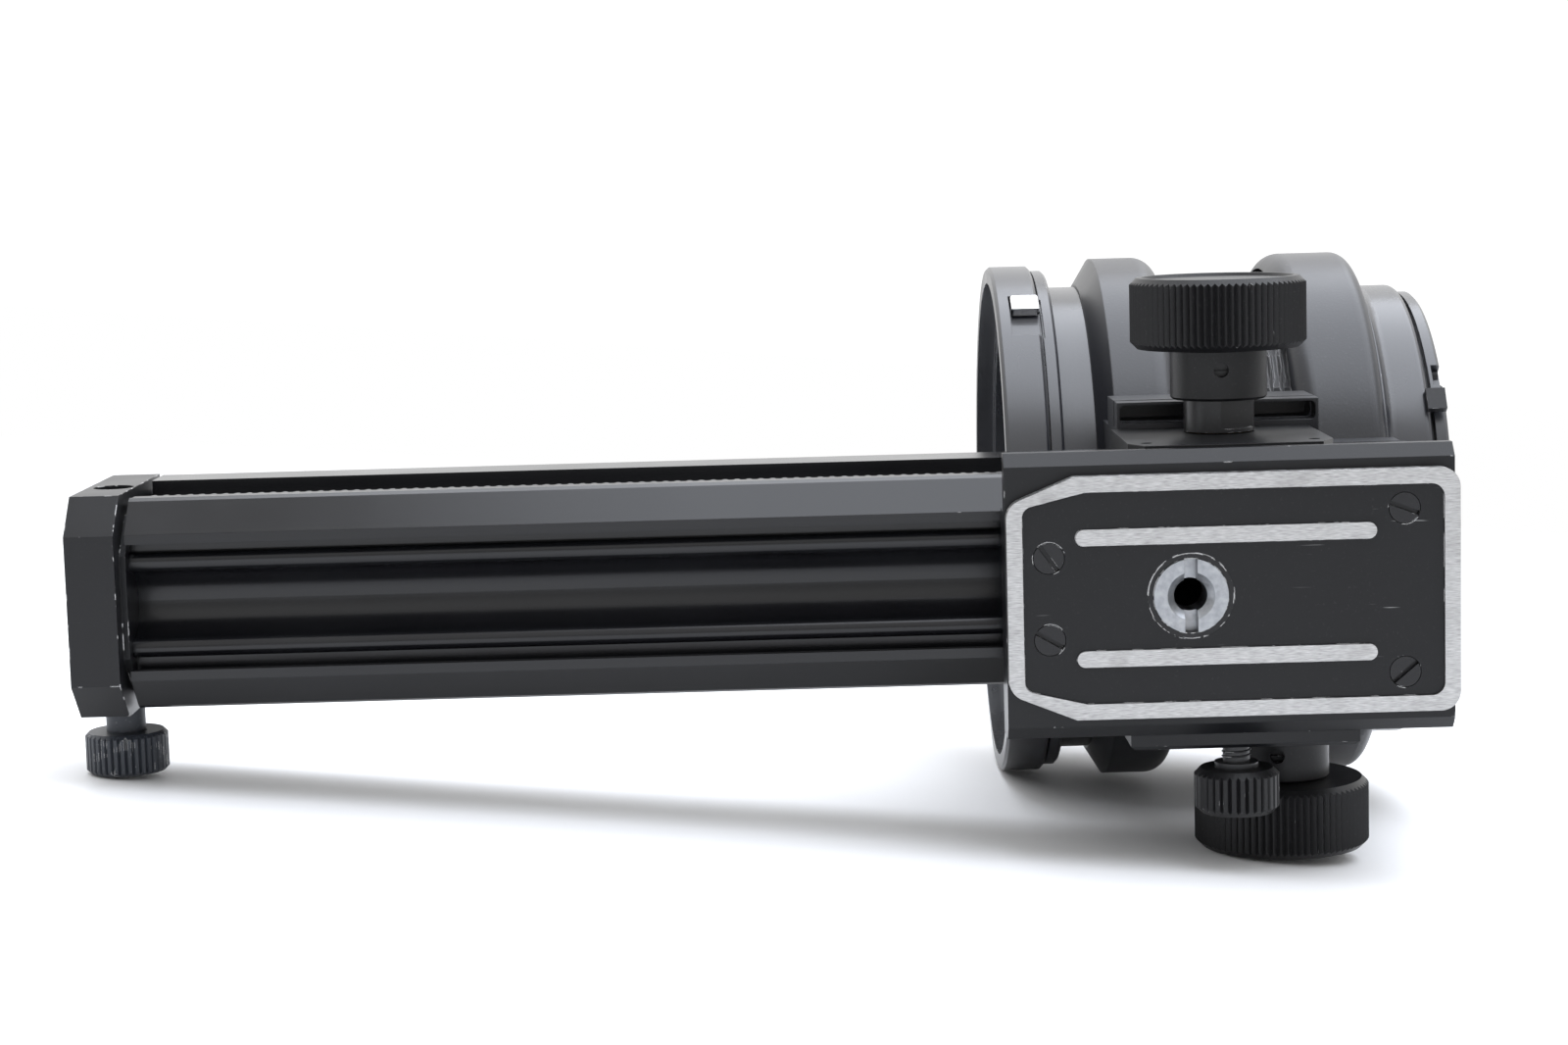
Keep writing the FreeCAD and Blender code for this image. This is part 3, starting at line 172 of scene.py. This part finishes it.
blackLooks = {
    "rail_black": {"dark": (0.0045, 0.0047, 0.0057), "light": (0.0065, 0.0068, 0.0082),
                   "wearAndHighlight": (0.03, 0.03, 0.033),
                   "bare": (0.5, 0.5, 0.5), "stretch": (0.02, 1, 1), "grainScale": 3500, "grainDepth": 5e-6,
                   "rough": (0.20, 0.27), "gloss": 0.38, "edge": 0.0002, "soft": 0.00015, "chips": 0.22,
                   "speckle": 0.15},
    "rack_black": {"dark": (0.012, 0.012, 0.013), "light": (0.018, 0.018, 0.02), "wearAndHighlight": (0.08, 0.08, 0.08),
                   "bare": (0.4, 0.4, 0.4), "grainScale": 2500, "grainDepth": 8e-6,
                   "rough": (0.27, 0.42), "edge": 0.0002, "soft": 0.0001, "chips": 0.45},
    "cap_black": {"dark": (0.0045, 0.0047, 0.0056), "light": (0.0065, 0.0067, 0.008),
                  "wearAndHighlight": (0.03, 0.03, 0.033),
                  "bare": (0.7, 0.7, 0.7), "grainScale": 2600, "grainDepth": 8e-6,
                  "rough": (0.3, 0.4), "gloss": 0.3, "edge": 0.0003, "soft": 0.00018, "chips": 0.42},
    "casting_black": {"dark": (0.008, 0.0086, 0.0115), "light": (0.0125, 0.0132, 0.0168),
                      "wearAndHighlight": (0.06, 0.06, 0.07),
                      "bare": (0.5, 0.5, 0.5), "grainScale": 2200, "grainDepth": 1.6e-5,
                      "rough": (0.3, 0.4), "gloss": 0.5, "edge": 0.0003, "soft": 0.0003, "chips": 0.28,
                      "speckle": 0.35},
    "ring_black": {"dark": (0.011, 0.0118, 0.0155), "light": (0.0155, 0.0165, 0.021),
                   "wearAndHighlight": (0.042, 0.042, 0.046),
                   "bare": (0.5, 0.5, 0.5), "grainScale": 2600, "grainDepth": 8e-6,
                   "rough": (0.24, 0.34), "gloss": 0.75, "edge": 0.0003, "soft": 0.0002, "chips": 0.30,
                   "speckle": 0.2, "ringLines": 1500},
    "block_black": {"dark": (0.004, 0.0042, 0.0051), "light": (0.006, 0.0062, 0.0075),
                    "wearAndHighlight": (0.035, 0.035, 0.038),
                    "bare": (0.6, 0.6, 0.6), "grainScale": 2400, "grainDepth": 9e-6,
                    "rough": (0.28, 0.4), "gloss": 0.28, "edge": 0.0003, "soft": 0.0002, "chips": 0.32},
    "face_black": {"dark": (0.004, 0.0042, 0.005), "light": (0.006, 0.0062, 0.0072),
                   "wearAndHighlight": (0.045, 0.045, 0.045),
                   "bare": (0.6, 0.6, 0.6), "grainScale": 2400, "grainDepth": 9e-6,
                   "rough": (0.32, 0.44), "gloss": 0.26, "edge": 0.00025, "soft": 0.0001, "chips": 0.46,
                   "scratches": 0.5, "scratchTurn": 0.05},
    "screw_black": {"dark": (0.0055, 0.0055, 0.0065), "light": (0.0085, 0.0085, 0.0098),
                    "wearAndHighlight": (0.05, 0.05, 0.05),
                    "bare": (0.5, 0.5, 0.5), "grainScale": 2600, "grainDepth": 8e-6,
                    "rough": (0.27, 0.42), "gloss": 0.34, "edge": 0.00012, "soft": 0.00008, "chips": 0.40},
    "knob_black": {"dark": (0.0055, 0.0055, 0.0062), "light": (0.0085, 0.0085, 0.0095),
                   "wearAndHighlight": (0.07, 0.07, 0.07),
                   "bare": (0.45, 0.45, 0.45), "grainScale": 3000, "grainDepth": 1.2e-5,
                   "rough": (0.32, 0.48), "gloss": 0.28, "edge": 0.00012, "soft": 0.00007, "chips": 0.30,
                   "speckle": 0.4},
    "shaft_black": {"dark": (0.0075, 0.0075, 0.0085), "light": (0.0125, 0.0125, 0.014),
                    "wearAndHighlight": (0.09, 0.09, 0.09),
                    "bare": (0.45, 0.45, 0.45), "grainScale": 2600, "grainDepth": 8e-6,
                    "rough": (0.24, 0.38), "gloss": 0.4, "edge": 0.0002, "soft": 0.0001, "chips": 0.42},
    "thumb_grey": {"dark": (0.02, 0.0235, 0.0315), "light": (0.038, 0.043, 0.053),
                   "wearAndHighlight": (0.14, 0.147, 0.154),
                   "bare": (0.5, 0.5, 0.5), "grainScale": 2000, "grainDepth": 1.2e-5,
                   "rough": (0.34, 0.5), "gloss": 0.4, "edge": 0.0002, "soft": 0.00008, "chips": 0.4,
                   "speckle": 0.5},
    "frame_black": {"dark": (0.006, 0.006, 0.007), "light": (0.0085, 0.0085, 0.0095),
                    "wearAndHighlight": (0.021, 0.021, 0.021),
                    "bare": (0.3, 0.3, 0.3), "grainScale": 2000, "grainDepth": 8e-6,
                    "rough": (0.42, 0.57), "edge": 0.0002, "soft": 0.0001, "chips": 0.2},
}


# bare and plated metals

def metalFinish(name, look):
    mat, shader = startMaterial(name)
    lines = noise(mat, objectPoint(mat, look["stretch"]), look["lineScale"], 3)
    cloud = noise(mat, objectPoint(mat), 160, 3)
    colour = blendColours(mat, remap(mat, lines, 0.3, 0.7), look["dark"], look["light"])
    stain = remap(mat, cloud, 0.58, 0.75, 0, look["stain"])
    colour = blendColours(mat, stain, colour, look["stainColour"])
    join(mat, colour, shader.inputs["Base Color"])
    shader.inputs["Metallic"].default_value = 1.0
    join(mat, remap(mat, lines, 0.3, 0.7, look["rough"][0], look["rough"][1]), shader.inputs["Roughness"])
    bump(mat, shader, lines, look["depth"], look["soft"])
    return mat


metalLooks = {
    "plate_metal": {"dark": (0.27, 0.268, 0.265), "light": (0.54, 0.537, 0.535), "stretch": (1, 1, 14),
                    "lineScale": 700,
                    "stain": 0.5, "stainColour": (0.25, 0.245, 0.24), "rough": (0.34, 0.5), "depth": 5e-6,
                    "soft": 0.00012},
    "bright_chrome": {"dark": (0.72, 0.72, 0.72), "light": (0.86, 0.86, 0.87), "stretch": (1, 1, 1),
                      "lineScale": 900,
                      "stain": 0.3, "stainColour": (0.5, 0.48, 0.45), "rough": (0.12, 0.22), "depth": 1e-6,
                      "soft": 0.0002},
    "bush_brass": {"dark": (0.45, 0.32, 0.13), "light": (0.65, 0.48, 0.22), "stretch": (1, 1, 8),
                   "lineScale": 900,
                   "stain": 0.5, "stainColour": (0.2, 0.13, 0.06), "rough": (0.25, 0.4), "depth": 3e-6,
                   "soft": 0.0001},
}


def plasticFinish(name, look):
    mat, shader = startMaterial(name)
    cloud = noise(mat, objectPoint(mat), look["scale"], 4)
    join(mat, blendColours(mat, remap(mat, cloud, 0.3, 0.7), look["dark"], look["light"]),
         shader.inputs["Base Color"])
    join(mat, remap(mat, cloud, 0.3, 0.7, 0.4, 0.6), shader.inputs["Roughness"])
    bump(mat, shader, noise(mat, objectPoint(mat), look["scale"] * 12, 2), 6e-6, 0.0001)
    return mat


def bellowsFinish(name, look):
    mat, shader = startMaterial(name)
    point = objectPoint(mat)
    weave = noise(mat, point, look["weaveScale"], 2)
    cloud = noise(mat, point, 120, 3)
    colour = blendColours(mat, remap(mat, cloud, 0.3, 0.7), look["dark"], look["light"])
    # fold edges painted light grey: a painted highlight along the pleat ridges of the bellows
    edge = edgeMask(mat, look["edge"])
    colour = blendColours(mat, combine(mat, "MULTIPLY", edge, look["ridgeHighlight"]), colour, look["wearAndHighlight"])
    join(mat, colour, shader.inputs["Base Color"])
    join(mat, remap(mat, weave, 0.3, 0.7, 0.4, 0.6), shader.inputs["Roughness"])
    shader.inputs["Sheen Weight"].default_value = 0.15
    bump(mat, shader, weave, look["depth"], 0.00015)
    return mat


materials = {name: blackFinish(name, look) for name, look in blackLooks.items()}
materials.update({name: metalFinish(name, look) for name, look in metalLooks.items()})
materials["seat_steel"] = blackFinish("seat_steel", {
    "dark": (0.006, 0.006, 0.007), "light": (0.01, 0.01, 0.011), "wearAndHighlight": (0.06, 0.06, 0.06),
    "bare": (0.7, 0.7, 0.7),
    "grainScale": 2400, "grainDepth": 8e-6, "rough": (0.3, 0.4), "gloss": 0.3, "edge": 0.0003, "soft": 0.0001,
    "chips": 0.52, "chipScale": 900})
materials["bushSteel"] = metalFinish("bushSteel", {
    "dark": (0.24, 0.25, 0.265), "light": (0.36, 0.37, 0.385), "stretch": (1, 1, 1), "lineScale": 900,
    "stain": 0.4,
    "stainColour": (0.13, 0.11, 0.085), "rough": (0.3, 0.42), "depth": 2e-6, "soft": 0.0001})
materials["gib_plastic"] = plasticFinish("gib_plastic", {"scale": 150, "dark": (0.05, 0.05, 0.048),
                                                         "light": (0.09, 0.088, 0.082)})
# black bellows cloth; its light grey fold edges are a painted highlight, not wear
materials["bellows_cloth"] = bellowsFinish("bellows_cloth", {
    "weaveScale": 3200, "dark": (0.009, 0.009, 0.0105), "light": (0.015, 0.015, 0.0175),
    "wearAndHighlight": (0.30, 0.30, 0.31),
    "edge": 0.0004, "ridgeHighlight": 0.85, "depth": 1.5e-5})
print("materials made:", len(materials))

for part in frame["record"]["subparts"]:
    node = nodes[part["node"]]
    for index in range(len(node.data.materials)):
        node.data.materials[index] = materials[part["material_slot"]]
nodes["tripod_bush"].data.materials[0] = materials["bushSteel"]
print("CAD nodes painted")


# mesh helpers

def lathe(profile, steps):
    bm = bmesh.new()
    points = [bm.verts.new((radius * mm, 0, height * mm)) for radius, height in profile]
    lines = [bm.edges.new(pair) for pair in zip(points, points[1:])]
    bmesh.ops.spin(bm, geom=points + lines, axis=(0, 0, 1), cent=(0, 0, 0), angle=2 * math.pi, steps=steps,
                   use_merge=True)
    bmesh.ops.remove_doubles(bm, verts=bm.verts, dist=1e-7)
    bmesh.ops.recalc_face_normals(bm, faces=bm.faces)
    return bm


def finishPiece(bm, name, slotName, smoothAngle=35):
    for face in bm.faces:
        face.smooth = True
    for edge in bm.edges:
        edge.smooth = len(edge.link_faces) == 2 and edge.calc_face_angle(0) < math.radians(smoothAngle)
    mesh = bpy.data.meshes.new(name)
    bm.to_mesh(mesh)
    bm.free()
    piece = bpy.data.objects.new(name, mesh)
    bpy.context.scene.collection.objects.link(piece)
    piece.data.materials.append(materials[slotName])
    return piece


# knurled knobs

fluteCut = {"reach": 0.01, "run": 0.9, "slope": 0.4}  # how flutes find the rim and run out at its ends


def cutFlutes(bm, look, radius):
    steps = look["teeth"] * look["stepsPerTooth"]
    roots = []
    for vert in bm.verts:
        turn = round(math.atan2(vert.co.y, vert.co.x) / (2 * math.pi) * steps)
        outermost = vert.co.xy.length > (radius - fluteCut["reach"]) * mm
        if outermost and turn % look["stepsPerTooth"] == look["stepsPerTooth"] - 1:
            roots.append(vert)
    share = (radius - look["depth"]) / radius
    bmesh.ops.scale(bm, vec=(share, share, 1), verts=roots)
    middle = sum(v.co.z for v in roots) / len(roots)
    for side in (1, -1):
        ends = [v for v in roots if (v.co.z - middle) * side > 0]
        bmesh.ops.translate(bm, vec=(0, 0, side * look["depth"] * mm * fluteCut["run"]), verts=ends)


def knurledKnob(name, node, body, look):
    low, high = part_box(node)
    radius = (high.x - low.x) / 2 / mm
    height = (high.z - low.z) / mm
    bevel = look["bevel"]
    under = [(0, look["underDrop"]), (radius - look["underRim"] - fluteCut["slope"], look["underDrop"]),
             (radius - look["underRim"], 0), (radius - bevel, 0)]
    over = [(radius - bevel, height), (radius - look["rim"], height),
            (radius - look["rim"] - fluteCut["slope"], height - look["drop"]), (0, height - look["drop"])]
    side = [(radius, bevel), (radius, height - bevel)]
    bm = lathe(under + side + over, look["teeth"] * look["stepsPerTooth"])
    cutFlutes(bm, look, radius)
    bmesh.ops.translate(bm, vec=((low.x + high.x) / 2, (low.y + high.y) / 2, low.z), verts=bm.verts)
    knob = finishPiece(bm, name, look["slot"], 20)
    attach(knob, body)
    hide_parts(node)
    return knob


bigKnob = {"teeth": 78, "stepsPerTooth": 2, "depth": 0.55, "bevel": 1.1, "rim": 1.9, "drop": 0.5,
           "underRim": 2.4,
           "underDrop": 0.0, "slot": "knob_black"}
lowerKnob = {**bigKnob, "teeth": 76, "underRim": 1.9, "underDrop": 0.4, "rim": 3.5, "drop": 0.0}
lockKnob = {"teeth": 31, "stepsPerTooth": 4, "depth": 0.5, "bevel": 1.0, "rim": 2.6, "drop": 0.0,
            "underRim": 2.0,
            "underDrop": 0.3, "slot": "knob_black"}
thumbKnob = {"teeth": 37, "stepsPerTooth": 4, "depth": 0.45, "bevel": 0.6, "rim": 1.8, "drop": 0.0,
             "underRim": 1.6,
             "underDrop": 0.3, "slot": "thumb_grey"}
knurledKnob("upperKnobKnurled", "upper_knob", "upper_drive", bigKnob)
knurledKnob("lowerKnobKnurled", "lower_knob", "lower_drive", lowerKnob)
knurledKnob("lockKnobKnurled", "lock_knob", "block_lock", lockKnob)
knurledKnob("thumbKnobKnurled", "thumb_screw_knob", "rod_screw", thumbKnob)
print("knurled knobs turned")


# pleated bellows between the standards

bellowsLook = {"pleats": 14, "fold": 4.5, "cornerShare": 0.455, "forkLength": 5.5, "forkShare": 0.9,
               "cloth": 0.3,
               "round": 0.12}


def bellowsRing(bm, x, half, flat, fork, push):
    # flat sides at half, corner strips pushed the other way so that each fold forks at a corner
    inner = Vector((half - fork, flat + fork)) + Vector((push, push))
    quarter = [Vector((half, -flat)), Vector((half, flat)), inner, Vector((inner.y, inner.x))]
    ring = []
    for index in range(4):
        spin = Matrix.Rotation(index * math.pi / 2, 2)
        for corner in quarter:
            place = spin @ corner
            ring.append(bm.verts.new((x, lensAxis.y + place.x, lensAxis.z + place.y)))
    return ring


def makeBellows(look):
    low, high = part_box("bellows")
    half = (high.z - low.z) / 2
    flat = half * (1 - look["cornerShare"])
    bm = bmesh.new()
    count = look["pleats"] * 2
    rings = []
    for index in range(count + 1):
        x = low.x + (high.x - low.x) * index / count
        fold = look["fold"] * mm if index % 2 == 0 else 0
        size = half - look["cloth"] * mm - fold
        push = (fold - look["fold"] * mm / 2) * look["forkShare"]
        ring = bellowsRing(bm, x, size, flat, look["forkLength"] * mm, push)
        loop = [bm.edges.new((ring[i], ring[(i + 1) % len(ring)])) for i in range(len(ring))]
        rings.append(loop)
    for first, second in zip(rings, rings[1:]):
        bmesh.ops.bridge_loops(bm, edges=first + second)
    folds = [edge for loop in rings[1:-1] for edge in loop if edge.is_valid]
    bmesh.ops.bevel(bm, geom=folds, offset=look["round"] * mm, segments=2, profile=0.5, affect="EDGES",
                    material=-1)
    bmesh.ops.recalc_face_normals(bm, faces=bm.faces)
    bmesh.ops.solidify(bm, geom=bm.faces[:], thickness=look["cloth"] * mm)
    piece = finishPiece(bm, "bellowsPleats", "bellows_cloth", 30)
    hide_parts("bellows")
    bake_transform(piece)
    return piece


makeBellows(bellowsLook)
print("bellows pleated")


# threads

def helix(profile, pitch, turns, steps):
    bm = bmesh.new()
    points = [bm.verts.new((radius * mm, 0, height * mm)) for radius, height in profile]
    lines = [bm.edges.new(pair) for pair in zip(points, points[1:])]
    count = int(steps * turns)
    bmesh.ops.spin(bm, geom=points + lines, axis=(0, 0, 1), cent=(0, 0, 0), dvec=(0, 0, pitch * mm / steps),
                   angle=2 * math.pi * turns, steps=count)
    bmesh.ops.remove_doubles(bm, verts=bm.verts, dist=1e-7)
    return bm


lockThread = {"pitch": 0.75, "root": 1.85, "crest": 2.3, "steps": 32, "start": 1.0, "flank": 0.4, "land": 0.1,
              "foot": 0.9}


def makeLockThread(look):
    low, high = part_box("lock_knob")
    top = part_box("lower_bearing_plate")[0].z
    bottom = high.z + look["start"] * mm
    pitch = look["pitch"]
    turns = (top - bottom) / (pitch * mm) - look["foot"]
    rise = pitch * look["flank"]
    profile = [(look["root"], 0), (look["crest"], rise), (look["crest"], rise + pitch * look["land"]),
               (look["root"], pitch * look["foot"]), (look["root"], 0)]
    bm = helix(profile, pitch, turns, look["steps"])
    bmesh.ops.holes_fill(bm, edges=[e for e in bm.edges if e.is_boundary], sides=8)
    bmesh.ops.recalc_face_normals(bm, faces=bm.faces)
    bmesh.ops.translate(bm, vec=((low.x + high.x) / 2, (low.y + high.y) / 2, bottom), verts=bm.verts)
    piece = finishPiece(bm, "lockScrewThread", "shaft_black", 30)
    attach(piece, "block_lock")
    return piece


makeLockThread(lockThread)
print("lock screw threaded")


# floor, lights and camera

floorLook = {"size": 3.0, "clear": 0.35, "fade": 0.9, "pale": (0.84, 0.845, 0.855),
             "slope": (-0.0966, -0.0403),
             "gap": 0.0002}


def makeFloor(look):
    # the object rests on its two lower knobs and the front ring, so the floor tilts against the rail
    slopeX, slopeY = look["slope"]
    normal = Vector((-slopeX, -slopeY, 1)).normalized()
    lowest = min(normal.dot(vert.co) for node in nodes.values() for vert in node.data.vertices)
    bm = bmesh.new()
    bmesh.ops.create_circle(bm, cap_ends=True, radius=look["size"], segments=96)
    tilt = Vector((0, 0, 1)).rotation_difference(normal).to_matrix()
    bmesh.ops.rotate(bm, verts=bm.verts, cent=(0, 0, 0), matrix=tilt)
    bmesh.ops.translate(bm, verts=bm.verts, vec=normal * (lowest - look["gap"]))
    mesh = bpy.data.meshes.new("studioFloor")
    bm.to_mesh(mesh)
    bm.free()
    floor = bpy.data.objects.new("studioFloor", mesh)
    bpy.context.scene.collection.objects.link(floor)
    mat, shader = startMaterial("paperSweep")
    point = objectPoint(mat)
    grain = noise(mat, point, 900, 3)
    join(mat, blendColours(mat, remap(mat, grain, 0.3, 0.7), tuple(c * 0.985 for c in look["pale"]), look["pale"]),
         shader.inputs["Base Color"])
    join(mat, remap(mat, grain, 0.3, 0.7, 0.55, 0.65), shader.inputs["Roughness"])
    shader.inputs["Specular IOR Level"].default_value = 0.2
    glow = addNode(mat, "Emission", {"Color": (1, 1, 1, 1), "Strength": 1.0})
    length = addNode(mat, "VectorMath", operation="LENGTH")
    join(mat, point, length.inputs[0])
    far = remap(mat, length.outputs["Value"], look["clear"], look["fade"])
    mixer = addNode(mat, "MixShader")
    join(mat, far, mixer.inputs[0])
    join(mat, shader.outputs[0], mixer.inputs[1])
    join(mat, glow.outputs[0], mixer.inputs[2])
    join(mat, mixer.outputs[0], mat.node_tree.nodes["Material Output"].inputs["Surface"])
    floor.data.materials.append(mat)


makeFloor(floorLook)


def addSoftbox(name, place, target, size, energy, colour=(1, 1, 1)):
    lamp = bpy.data.lights.new(name, "AREA")
    lamp.shape = "RECTANGLE"
    lamp.size, lamp.size_y = size
    lamp.energy = energy
    lamp.color = colour
    holder = bpy.data.objects.new(name, lamp)
    holder.location = place
    holder.rotation_euler = (Vector(target) - Vector(place)).to_track_quat("-Z", "Y").to_euler()
    bpy.context.scene.collection.objects.link(holder)


studioLook = {"room": [("Z", 0.0, 0.5, 0.6, 1.15), ("Y", -0.1, 0.6, 0.0, 0.5)]}  # brighter above and behind


def makeStudio(look):
    addSoftbox("overhead", (0.24, 0.16, 0.9), (0.0, 0.05, 0), (1.45, 1.1), 17.0, (0.88, 0.93, 1.03))
    world = bpy.data.worlds.new("studioRoom")
    bpy.context.scene.world = world
    world.use_nodes = True
    tree = world.node_tree
    back = tree.nodes["Background"]
    coord = tree.nodes.new("ShaderNodeTexCoord")
    split = tree.nodes.new("ShaderNodeSeparateXYZ")
    strength = None
    for axis, low, high, dim, bright in look["room"]:
        ramp = tree.nodes.new("ShaderNodeMapRange")
        for key, value in (("From Min", low), ("From Max", high), ("To Min", dim), ("To Max", bright)):
            ramp.inputs[key].default_value = value
        tree.links.new(split.outputs[axis], ramp.inputs["Value"])
        if strength:
            total = tree.nodes.new("ShaderNodeMath")
            tree.links.new(strength, total.inputs[0])
            tree.links.new(ramp.outputs["Result"], total.inputs[1])
            strength = total.outputs[0]
        else:
            strength = ramp.outputs["Result"]
    path = tree.nodes.new("ShaderNodeLightPath")
    top = tree.nodes.new("ShaderNodeMath")
    top.operation = "MAXIMUM"
    tree.links.new(coord.outputs["Generated"], split.inputs[0])
    tree.links.new(strength, top.inputs[0])
    tree.links.new(path.outputs["Is Camera Ray"], top.inputs[1])
    tree.links.new(top.outputs[0], back.inputs["Strength"])
    back.inputs["Color"].default_value = (1, 1, 1, 1)


makeStudio(studioLook)

cameraLook = {"lens": 72.33, "place": (-0.059918, -0.476154, 0.069622),
              "right": (0.999606, 0.000432, -0.028048),
              "up": (0.027800, 0.118355, 0.992582), "ahead": (-0.003748, 0.992971, -0.118296)}


def makeCamera(look):
    data = bpy.data.cameras.new("mainCamera")
    data.lens = look["lens"]
    data.sensor_width = 36
    data.sensor_fit = "HORIZONTAL"
    data.clip_start = 0.01
    camera = bpy.data.objects.new("mainCamera", data)
    right, up, ahead = (Vector(look[key]) for key in ("right", "up", "ahead"))
    turn = Matrix((right, up, -ahead)).transposed().to_4x4()
    camera.matrix_world = Matrix.Translation(look["place"]) @ turn
    bpy.context.scene.collection.objects.link(camera)
    bpy.context.scene.camera = camera


makeCamera(cameraLook)
bpy.context.scene.view_settings.view_transform = "Standard"
print("studio set")
